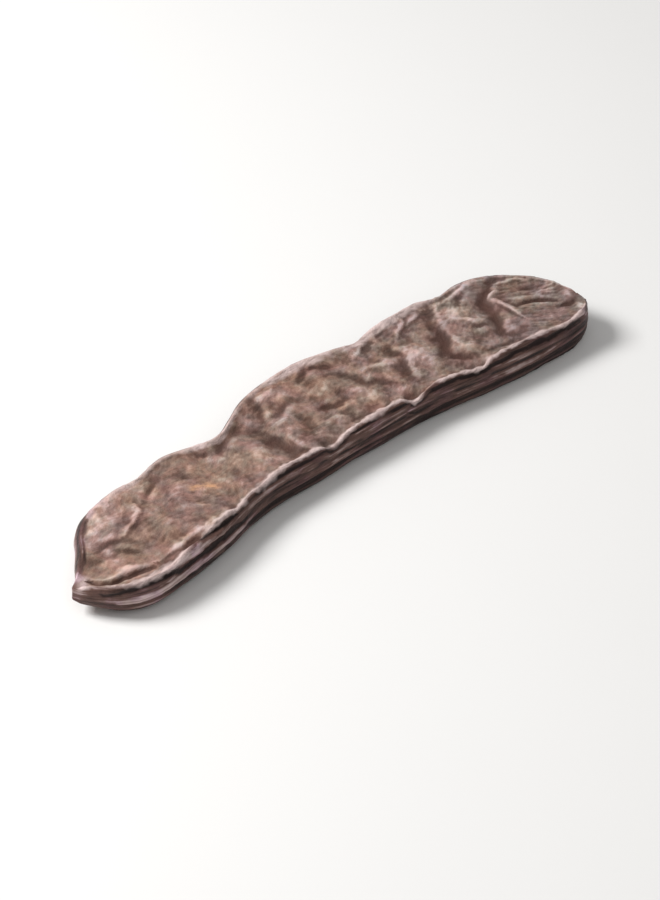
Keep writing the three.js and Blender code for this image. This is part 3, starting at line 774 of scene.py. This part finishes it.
def soften(field, rings, steps):
    """A field of the grid blurred by a bell along the pod and round each ring, of widths in cells."""
    index = np.arange(field.shape[0])
    along = bell(index[:, None] - index, rings)
    along /= along.sum(1, keepdims=True)
    index = np.arange(field.shape[1])
    gap = np.abs(index[:, None] - index)
    around = bell(np.minimum(gap, field.shape[1] - gap), steps)
    around /= around.sum(1, keepdims=True)
    flat = along @ field.reshape(field.shape[0], -1)
    return np.moveaxis(np.tensordot(around, flat.reshape(field.shape), (1, 1)), 0, 1)


def crest_gap(grid, columns):
    """Distance round each ring to the nearest of some whole columns of the grid."""
    step = np.linalg.norm(np.roll(grid, -1, 1) - grid, axis=-1)
    place = np.concatenate([np.zeros((len(grid), 1)), np.cumsum(step, 1)], 1)
    whole = place[:, -1:]
    place = place[:, :-1]
    gaps = []
    for column in columns:
        gap = np.abs(place - place[:, column:column + 1])
        gaps.append(np.minimum(gap, whole - gap))
    return np.min(gaps, axis=0)


def crumple(points, size, seed):
    """Shrivelled skin: crisp ridges where warped noise changes sign, with round hollows between."""
    warp = np.stack([noise(points / (WARP_SIZE * size), seed + k) for k in WARP_SEEDS], -1)
    value = noise(points / size + WARP_SHARE * warp, seed)
    return CRUMPLE_TOP - np.sqrt(value**2 + CRUMPLE_ROUNDING)


def slanted(points, turn, stretch):
    """Points turned about Z by an angle and then drawn together along their own X."""
    x = points[..., 0] * math.cos(turn) + points[..., 1] * math.sin(turn)
    y = points[..., 1] * math.cos(turn) - points[..., 0] * math.sin(turn)
    return np.stack([x / stretch, y, points[..., 2]], -1)


def relief_mask(grid, normals, cells, depth):
    """How far the skin stands above its own blurred form, as a share of a depth from -1 to 1."""
    return np.clip(np.sum((grid - soften(grid, cells, cells)) * normals, -1) / depth, -1, 1)


def plain_form(rings, shape):
    """The smooth pod: two sunken faces and two ribbed margins between four rims, and the stalk scar."""
    front = rings, shape, rings["front_x"], shape.front_inset
    back = rings, shape, rings["back_x"], shape.back_inset
    top_front = rim_crest(*front, TOP_FRONT_FLARES, TOP_FRONT_DIPS)
    low_front = rim_crest(*front, LOW_FRONT_FLARES, LOW_FRONT_DIPS)
    top_back = rim_crest(*back, BACK_FLARES, TOP_BACK_DIPS)
    low_back = rim_crest(*back, BACK_FLARES, LOW_BACK_DIPS)
    grid = np.concatenate([
        side_points(rings, shape, top_back, low_back, BACK_STEPS, 1),
        face_points(rings, shape, top_front, top_back, TOP_STEPS, True),
        side_points(rings, shape, top_front, low_front, FRONT_STEPS, -1),
        face_points(rings, shape, low_front, low_back, LOW_STEPS, False),
    ], 1)
    return np.concatenate([grid, knob_points(grid[-1])])


def with_knob(column):
    """A column of ring values carried on over the stalk scar."""
    return np.concatenate([column, np.repeat(column[-1:], KNOB_RINGS, 0)])


def plain_regions(grid):
    """Where the parts of the plain form lie: distances to its rims, and masks of its margins and ends."""
    rims = np.cumsum([0, BACK_STEPS, TOP_STEPS, FRONT_STEPS])
    back_gap, front_gap = crest_gap(grid, rims[1:2]), crest_gap(grid, rims[2:3])
    sides = np.zeros(grid.shape[:2])
    sides[:, :BACK_STEPS] = 1
    sides[:, rims[2]:rims[3]] = 1
    sides = soften(sides, *SIDES_BLUR)
    shoulder = span_step(SHOULDER_START, grid[..., 0]) * span_step(SHOULDER_EDGE, back_gap)
    seen = ragged(sight_place(grid))
    nose_gap = np.linalg.norm(seen - np.array(NOSE_PLACE) * MM, axis=-1)
    nose = smooth_step(*NOSE_EDGE, nose_gap / (NOSE_RADIUS * MM))
    scar = np.zeros(grid.shape[:2])
    scar[-KNOB_RINGS:] = np.linspace(0, 1, KNOB_RINGS + 1)[1:, None]
    scarred = smooth_step(*SCAR_EDGE, scar)
    normals = grid_normals(soften(grid, NORMAL_BLUR, NORMAL_BLUR))
    return SimpleNamespace(
        gap=crest_gap(grid, rims), back_gap=back_gap, front_gap=front_gap, sides=sides, shoulder=shoulder,
        nose=nose, scar=scar, scarred=scarred, normals=normals, seen=seen, under=ragged(grid[..., :2]),
        # The shoulder's share of the margin mask paints shadow on the face by the back rim at the tip.
        margin=np.maximum.reduce([sides, shoulder * span_step(SHOULDER_CORE, back_gap), nose, scarred]),
        facing=smooth_step(*FACING_EDGE, normals @ direction(VIEW_AZIMUTH, VIEW_ELEVATION)),
        below=smooth_step(*BELOW_EDGE, -normals[..., 2]))


def rim_beads(shape, grid, along, form):
    """A thin bead along each rim: a bell of the gap to it, with the noises that break, move and widen it."""
    broken = np.clip(noise_layers(grid, *BEAD_BREAKS), *BREAK_LIMITS)
    wander = noise_layers(grid, *BEAD_WANDER) * MM
    uneven = np.clip(noise_layers(grid, *BEAD_UNEVENNESS), *UNEVEN_LIMITS)
    height = shape.rim_bead * broken * (1 - form.shoulder)
    height *= bell(form.gap + wander, BEAD_WIDTH * MM * uneven, BEAD_CRISPNESS)
    height *= span_step(BEAD_END, along.max() - along)
    return SimpleNamespace(height=height, broken=broken, wander=wander, uneven=uneven)


def face_crumples(shape, grid, form):
    """Shrivelled ridges of the faces: a sum of crumples, each on its own slant and in its own place."""
    stalk_end = span_step(STALK_END, grid[..., 0])
    places = {
        "everywhere": 1, "body": 1 - stalk_end, "stalk end": stalk_end,
        "back rim": bell(form.back_gap, BACK_RIM_REACH * MM),
    }
    ridges = 0
    for where, share, turn, stretch, size, seed in CRUMPLES:
        ridges = ridges + share * places[where] * crumple(slanted(grid, turn, stretch), size * MM, seed)
    return shape.crumple_height * blend(SHRIVEL_LEAST, 1, span_step(SHRIVEL_GROWTH, grid[..., 0])) * ridges


def margin_streaks(grid, along):
    """Lengthwise streaks of the margins: noises of the length along the pod and of the height."""
    drawn = np.stack([along / STREAK_LENGTH, grid[..., 2] / STREAK_WIDTH, 0 * along], -1) / MM
    return sum(height * MM * noise(drawn * finer, seed) for height, finer, seed in STREAKS)


def rim_dust_and_highlight(grid, form, beads):
    """Pale dust and painted highlight: bells of the gaps to both upper rims, and crease edges in patches."""
    x = grid[..., 0]
    front_width = (DUST_WIDTH + bells_along(x, FRONT_WIDENING)) * MM * beads.uneven
    back_width = (DUST_WIDTH + bells_along(x, BACK_WIDENING)) * MM
    front = (FRONT_LAYER + bells_along(x, FRONT_DUST)) * bell(form.front_gap + beads.wander, front_width)
    back = (BACK_LAYER + bells_along(x, BACK_DUST)) * bell(form.back_gap + beads.wander, back_width)
    patches = np.clip(noise_layers(grid, *DUST_PATCHES), *PATCH_LIMITS)
    crests = CREST_DUST * form.facing * patches * crest_dust_and_highlight(form.seen, SEEN_FOLDS)
    return np.maximum.reduce([front, back, crests]) * np.clip(beads.broken + GAP_DUST, 0, 1)


def margin_dimness(grid, form):
    """How dim the margins are: painted shadow under the rims and on the shoulder, a dark scar, paler tip."""
    rim_gap = np.minimum(form.front_gap, form.back_gap)
    # Painted shadow in a line under the rims.
    rim_shadow = form.margin * bell(rim_gap - RIM_SHADOW_GAP * MM, RIM_SHADOW_WIDTH * MM)
    # Painted shadow on the shoulder at the tip.
    shoulder = (SHOULDER_DIM + SHOULDER_SIDE_DIM * form.sides) * form.shoulder
    pale_tip = PALE_TIP_SHARE * bell(grid[..., 0] - PALE_TIP_X * MM, PALE_TIP_LENGTH * MM)
    pale_tip *= span_step(PALE_TIP_EDGE, form.front_gap)
    ring_share, ring_place, ring_width = SCAR_RING
    pale_ring = ring_share * form.scarred * bell(form.scar - ring_place, ring_width)
    pit = smooth_step(*SCAR_PIT, form.scar) - pale_ring
    return np.maximum(RIM_SHADOW_DIM * rim_shadow, shoulder) * (1 - form.nose) - np.maximum(pale_tip, form.nose) + pit


def scuff_mask(form, normals):
    """The scuff: a bell of the distance to its line, on skin that faces up."""
    line = curve_at(curve_trace(SCUFF), np.linspace(0, 1, SCUFF_POINTS))
    gap = np.linalg.norm(form.seen[:, :, None] - line, axis=-1).min(-1)
    return bell(gap, SCUFF_WIDTH * MM) * (normals[..., 2] > SCUFF_FACING)


def pod_skin(shape):
    """The whole skin as a grid of points, with the masks that the finish reads.

    Folds, beads along the rims, crumples over the faces and lengthwise streaks on the margins move each
    point of the plain form along its normal.
    """
    rings = ring_frames(shape)
    grid = plain_form(rings, shape)
    along = with_knob(rings["along"]) + 0 * grid[..., 0]
    form = plain_regions(grid)

    folds = form.facing * (fold_relief(form.seen, SEEN_FOLDS) + lump_relief(form.seen, LUMPS))
    folds += form.below * fold_relief(form.under, UNDER_FOLDS)
    # Painted shade on the floors of the deep valleys, on the seen side and below.
    valley_shade = form.facing * hollow_shade(form.seen, SEEN_FOLDS)
    valley_shade += UNDER_HOLLOW * form.below * hollow_shade(form.under, UNDER_FOLDS)
    beads = rim_beads(shape, grid, along, form)
    lump_height, lump_size, lump_seed, lump_layers = SOFT_LUMPS
    lumpy = lump_height * MM * layered_noise(grid / (lump_size * MM), lump_seed, lump_layers)
    face = face_crumples(shape, grid, form) + lumpy
    side = margin_streaks(grid, along) + SIDE_LUMPS * lumpy
    height = beads.height + folds + with_knob(rings["fade"]) * blend(face, side, form.margin)
    scar_height, scar_size, scar_seed = SCAR_ROUGHNESS
    height += scar_height * MM * form.scarred * crumple(grid, scar_size * MM, scar_seed)
    grid = grid + form.normals * height[..., None]

    normals = grid_normals(grid)
    masks = {name: relief_mask(grid, normals, cells, depth * MM) for name, (cells, depth) in RELIEFS.items()}
    masks |= {
        "fold": np.clip(soften(folds, FOLD_BLUR, FOLD_BLUR) / MM, -1, 1),
        "valley_shade": soften(valley_shade, HOLLOW_BLUR, HOLLOW_BLUR),
        "rim": rim_dust_and_highlight(grid, form, beads),
        "margin": form.margin,
        "dim": margin_dimness(grid, form),
        # Pale blooms of dust, and darker patches that are partly painted shade.
        "bloom_and_shade": form.facing * lump_relief(form.seen, BLOOMS_AND_SHADES) / MM,
        "along": along + SCAR_STREAK * MM * form.scar,
        "scuff": scuff_mask(form, normals),
    }
    grid[..., :2] -= np.array(MIDDLE) * MM
    grid[..., 2] = np.maximum(grid[..., 2], 0)
    return grid, masks


def skin_faces(rings, around):
    """Quads between neighbouring rings, and a fan of triangles that closes each end."""
    index = np.arange(rings * around).reshape(rings, around)
    after = np.roll(index, -1, 1)
    quads = np.stack([index[:-1], after[:-1], after[1:], index[1:]], -1).reshape(-1, 4)
    tip, end = rings * around, rings * around + 1
    tip_fan = np.stack([np.full(around, tip), after[0], index[0]], -1)
    end_fan = np.stack([np.full(around, end), index[-1], after[-1]], -1)
    return quads.tolist() + tip_fan.tolist() + end_fan.tolist()


def skin_mesh(name, grid, masks):
    """A smooth closed mesh of the grid, with the masks as point attributes."""
    rings, around = grid.shape[:2]
    points = np.vstack([grid.reshape(-1, 3), grid[0].mean(0), grid[-1].mean(0)])
    mesh = bpy.data.meshes.new(name)
    mesh.from_pydata(points.tolist(), [], skin_faces(rings, around))
    mesh.polygons.foreach_set("use_smooth", np.ones(len(mesh.polygons), bool))
    for mask, values in masks.items():
        ends = [values[0].mean(), values[-1].mean()]
        attribute = mesh.attributes.new(mask, "FLOAT", "POINT")
        attribute.data.foreach_set("value", np.concatenate([values.ravel(), ends]).astype(np.float32))
    mesh.update()
    return mesh


class NodeSheet:
    """Adds and links the nodes of one tree with short calls."""

    def __init__(self, tree):
        self.tree = tree

    def plug(self, socket, value):
        """Links an output, or sets a plain value."""
        if isinstance(value, bpy.types.NodeSocket):
            self.tree.links.new(value, socket)
        elif hasattr(value, "__len__") and len(value) == 3 and socket.type == "RGBA":
            socket.default_value = (*value, 1)
        else:
            socket.default_value = value

    def add(self, kind, output, inputs=None, **settings):
        """A node with its settings and inputs, as one of its outputs."""
        node = self.tree.nodes.new(kind)
        for setting, value in settings.items():
            setattr(node, setting, value)
        for socket, value in (inputs or {}).items():
            self.plug(node.inputs[socket], value)
        return node.outputs[output]

    def mix(self, share, first, second, blend_type="MIX"):
        """Two colours mixed by a share."""
        return self.add(
            "ShaderNodeMix", 2, {0: share, 6: first, 7: second}, data_type="RGBA", blend_type=blend_type,
            clamp_factor=True)

    def product(self, first, second):
        """Two values multiplied, held between 0 and 1."""
        return self.add("ShaderNodeMath", 0, {0: first, 1: second}, operation="MULTIPLY", use_clamp=True)

    def total(self, start, parts, shares):
        """A start plus each named part times its share."""
        for name, share in shares.items():
            inputs = {0: parts[name], 1: share, 2: start}
            start = self.add("ShaderNodeMath", 0, inputs, operation="MULTIPLY_ADD")
        return start

    def ramp(self, value, finish, stops):
        """A colour between stops of (position, name of one of the finish's colours)."""
        output = self.add("ShaderNodeValToRGB", 0, {0: value})
        elements = output.node.color_ramp.elements
        for index, (position, name) in enumerate(stops):
            stop = elements[index] if index < len(elements) else elements.new(position)
            stop.position = position
            stop.color = (*getattr(finish, name), 1)
        return output

    def spread(self, value, low, high, to_low=0.0, to_high=1.0):
        """A value carried from one range to another, held within it."""
        return self.add("ShaderNodeMapRange", 0, {0: value, 1: low, 2: high, 3: to_low, 4: to_high})

    def noise(self, vector, scale, detail, roughness):
        """Noise with features of 1 / scale metres."""
        inputs = {"Vector": vector, "Scale": scale, "Detail": detail, "Roughness": roughness}
        return self.add("ShaderNodeTexNoise", 0, inputs)

    def slanted_noise(self, vector, end, scale):
        """Noise drawn out along one slant, and along another where the share is 1."""
        slants = []
        for turn in SLANTS:
            inputs = {"Vector": vector, "Rotation": (0, 0, turn), "Scale": (SLANT_STRETCH, 1, 1)}
            slants.append(self.noise(self.add("ShaderNodeMapping", 0, inputs), scale, *SLANT_DETAIL))
        return self.add("ShaderNodeMix", 0, {0: end, 2: slants[0], 3: slants[1]})

    def mask(self, name):
        """A point attribute of the skin."""
        return self.add("ShaderNodeAttribute", "Fac", attribute_name=name)

    def surface(self, inputs):
        """A principled shader on the material's surface."""
        output = self.tree.nodes.new("ShaderNodeOutputMaterial")
        self.plug(output.inputs["Surface"], self.add("ShaderNodeBsdfPrincipled", 0, inputs))


def new_material(name):
    """A material with no nodes yet, and the sheet to add them with."""
    material = bpy.data.materials.new(name)
    material.use_nodes = True
    material.node_tree.nodes.clear()
    return material, NodeSheet(material.node_tree)


def hull_material(finish):
    """Dry leathery hull: mottled taupe faces with painted shade in their folds, streaky margins, crests of
    dust and painted highlight, and a fine grain.

    Each tone is a start plus masks and noises times their shares, put on a ramp of the finish's colours.
    """
    material, sheet = new_material("carob_hull")
    place = sheet.add("ShaderNodeTexCoord", "Object")
    x, height = (sheet.add("ShaderNodeSeparateXYZ", axis, {0: place}) for axis in "XZ")
    bend = sheet.add("ShaderNodeTexNoise", "Color", {"Vector": place, "Scale": BEND_SCALE, "Detail": 1})
    bent = sheet.add(
        "ShaderNodeVectorMath", 0, {0: bend, 1: (BEND_REACH,) * 3, 2: place}, operation="MULTIPLY_ADD")
    lengthwise = sheet.add("ShaderNodeCombineXYZ", 0, {"X": sheet.mask("along"), "Y": height})
    drawn = sheet.add("ShaderNodeMapping", 0, {"Vector": lengthwise, "Scale": (STREAK_STRETCH, 1, 1)})
    stalk_end = sheet.spread(x, *(at * MM for at in STALK_END))
    flecks = sheet.slanted_noise(bent, stalk_end, FLECK_SCALE)
    parts = {name: sheet.mask(name) for name in MASKS}
    parts |= {
        "flecks": flecks, "mottle": sheet.noise(place, *MOTTLE), "streak": sheet.noise(drawn, *STREAK_NOISE)}

    # The fold, fine and middle masks paint shade into valleys and crevices and light onto ridges and crests.
    tone = sheet.total(FACE_START, parts, FACE_SHARES)
    hull = sheet.ramp(tone, finish, FACE_STOPS)
    warmth = sheet.spread(sheet.noise(place, *WARMTH), *TINT_SPAN)
    hull = sheet.mix(warmth, hull, WARM, "MULTIPLY")
    tint = sheet.noise(bent, *TINT)
    for pattern, first, second in ((tint, OLIVE, ROSE), (sheet.noise(bent, *RUDDINESS), COOL, RUDDY)):
        tints = sheet.mix(sheet.spread(pattern, *TINT_SPAN), first, second)
        hull = sheet.mix(1.0, hull, tints, "MULTIPLY")
    hull = sheet.mix(sheet.spread(x, *(at * MM for at in STALK_HALF)), hull, STALK_TINT, "MULTIPLY")
    # Painted shade on the valley floors.
    hull = sheet.mix(sheet.total(0, parts, {"valley_shade": HOLLOW_SHARE}), hull, finish.valley_shade)

    # Painted shade on the margins near the floor; the fold mask paints shade into their grooves and light
    # onto their ribs.
    side_start = sheet.spread(height, *(at * MM for at in SIDE_HEIGHTS), *SIDE_STARTS)
    side = sheet.ramp(sheet.total(side_start, parts, SIDE_SHARES), finish, SIDE_STOPS)
    side = sheet.mix(sheet.spread(tint, *SIDE_TINT_SPAN), side, SIDE_TINT, "MULTIPLY")
    hull = sheet.mix(sheet.spread(parts["margin"], *MARGIN_SPAN), hull, side)

    # Pale dust and painted highlight along the rims and on the crease edges.
    wear = sheet.spread(flecks, *WEAR_SPAN, LEAST_WEAR, 1)
    dust_and_highlight = sheet.product(sheet.spread(parts["rim"], *DUST_SPAN), wear)
    hull = sheet.mix(dust_and_highlight, hull, finish.dust)
    scuffed = sheet.product(parts["scuff"], sheet.spread(flecks, *WEAR_SPAN))
    hull = sheet.mix(scuffed, hull, finish.scuff)

    low, high = finish.roughness - SMOOTHER, finish.roughness + ROUGHER
    rough = sheet.total(sheet.spread(flecks, *ROUGH_SPAN, low, high), parts, {"margin": SIDE_ROUGHNESS})
    creases = sheet.slanted_noise(bent, stalk_end, CREASE_SCALE)
    relief = sheet.total(sheet.noise(place, *GRAIN), {"creases": creases}, {"creases": CREASE_SHARE})
    bump = sheet.add("ShaderNodeBump", 0, {
        "Strength": BUMP_STRENGTH, "Distance": BUMP_DEPTH * MM, "Height": relief})
    sheet.surface({"Base Color": hull, "Roughness": rough, "Normal": bump, "Specular IOR Level": SHINE})
    return material


def floor_material(stage):
    """Plain pale floor, with a faint unevenness."""
    material, sheet = new_material("pale_floor")
    faint = sheet.noise(sheet.add("ShaderNodeTexCoord", "Object"), *FAINT)
    darker = [FLOOR_SHADE * value for value in stage.floor_colour]
    sheet.surface({
        "Base Color": sheet.mix(faint, stage.floor_colour, darker), "Roughness": FLOOR_ROUGHNESS})
    return material


def place_object(name, data):
    """An object in the scene's own collection, at the origin."""
    made = bpy.data.objects.new(name, data)
    bpy.context.scene.collection.objects.link(made)
    return made


def aim_at(thing, location, target):
    """Moves a light or camera to a place and turns it to look at a point."""
    thing.location = location
    thing.rotation_mode = "QUATERNION"
    thing.rotation_quaternion = (target - location).to_track_quat("-Z", "Y")


def soft_light(name, target, azimuth, elevation, distance, size, power):
    """A square area light that looks at the target."""
    data = bpy.data.lights.new(name, "AREA")
    data.shape = "SQUARE"
    data.size = size
    data.energy = power
    towards = Vector(direction(math.radians(azimuth), math.radians(elevation)))
    aim_at(place_object(name, data), target + towards * distance, target)


class CAROB_OT_grow_pod(bpy.types.Operator):
    """Grow the pod's wrinkled skin in place of its plain solid"""

    bl_idname = "carob.grow_pod"
    bl_label = "Grow Pod"

    def execute(self, context):
        grid, masks = pod_skin(context.scene.carob_shape)
        pod = place_object("carob_pod_skin", skin_mesh("carob_pod_skin", grid, masks))
        pod.data.materials.append(hull_material(context.scene.carob_finish))
        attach(pod, "root")
        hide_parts("carob_pod")
        return {"FINISHED"}


class CAROB_OT_set_stage(bpy.types.Operator):
    """Lay the pale floor and set the soft lights and the camera"""

    bl_idname = "carob.set_stage"
    bl_label = "Set Stage"

    def execute(self, context):
        scene, stage = context.scene, context.scene.carob_stage
        half = stage.floor_size / 2
        corners = [(-half, -half, 0), (half, -half, 0), (half, half, 0), (-half, half, 0)]
        mesh = bpy.data.meshes.new("floor")
        mesh.from_pydata(corners, [], [(0, 1, 2, 3)])
        mesh.materials.append(floor_material(stage))
        place_object("floor", mesh)

        target = Vector(stage.aim)
        soft_light("key_light", target, *KEY_LIGHT, stage.key_power)
        soft_light("fill_light", target, *FILL_LIGHT, stage.fill_power)
        world = bpy.data.worlds.new("pale_sky")
        world.use_nodes = True
        sky = world.node_tree.nodes["Background"].inputs
        sky["Color"].default_value = (1, 1, 1, 1)
        sky["Strength"].default_value = stage.sky_strength
        scene.world = world
        scene.view_settings.view_transform = "Standard"

        camera = place_object("camera", bpy.data.cameras.new("camera"))
        camera.data.lens = stage.lens
        towards = Vector(direction(stage.azimuth, stage.elevation))
        aim_at(camera, target + towards * stage.distance, target)
        scene.camera = camera
        return {"FINISHED"}


class CAROB_PT_pod(bpy.types.Panel):
    """Sizes, colours and steps of the pod"""

    bl_idname = "CAROB_PT_pod"
    bl_label = "Carob Pod"
    bl_space_type = "VIEW_3D"
    bl_region_type = "UI"
    bl_category = "Carob Pod"

    def draw(self, context):
        for group in SETTINGS:
            settings = getattr(context.scene, group)
            box = self.layout.box()
            for name in settings.__annotations__:
                box.prop(settings, name)
        self.layout.operator(CAROB_OT_grow_pod.bl_idname)
        self.layout.operator(CAROB_OT_set_stage.bl_idname)


SETTINGS = {"carob_shape": PodShape, "carob_finish": PodFinish, "carob_stage": PodStage}
CLASSES = (*SETTINGS.values(), CAROB_OT_grow_pod, CAROB_OT_set_stage, CAROB_PT_pod)


def register():
    """Adds the classes, and their settings to the scene."""
    for cls in CLASSES:
        bpy.utils.register_class(cls)
    for name, group in SETTINGS.items():
        setattr(bpy.types.Scene, name, bpy.props.PointerProperty(type=group))


def unregister():
    """Takes the settings and classes away again."""
    for name in SETTINGS:
        delattr(bpy.types.Scene, name)
    for cls in reversed(CLASSES):
        bpy.utils.unregister_class(cls)


def main():
    """Grows and stages the pod."""
    register()
    bpy.ops.carob.grow_pod()
    bpy.ops.carob.set_stage()


if __name__ == "__main__":
    main()
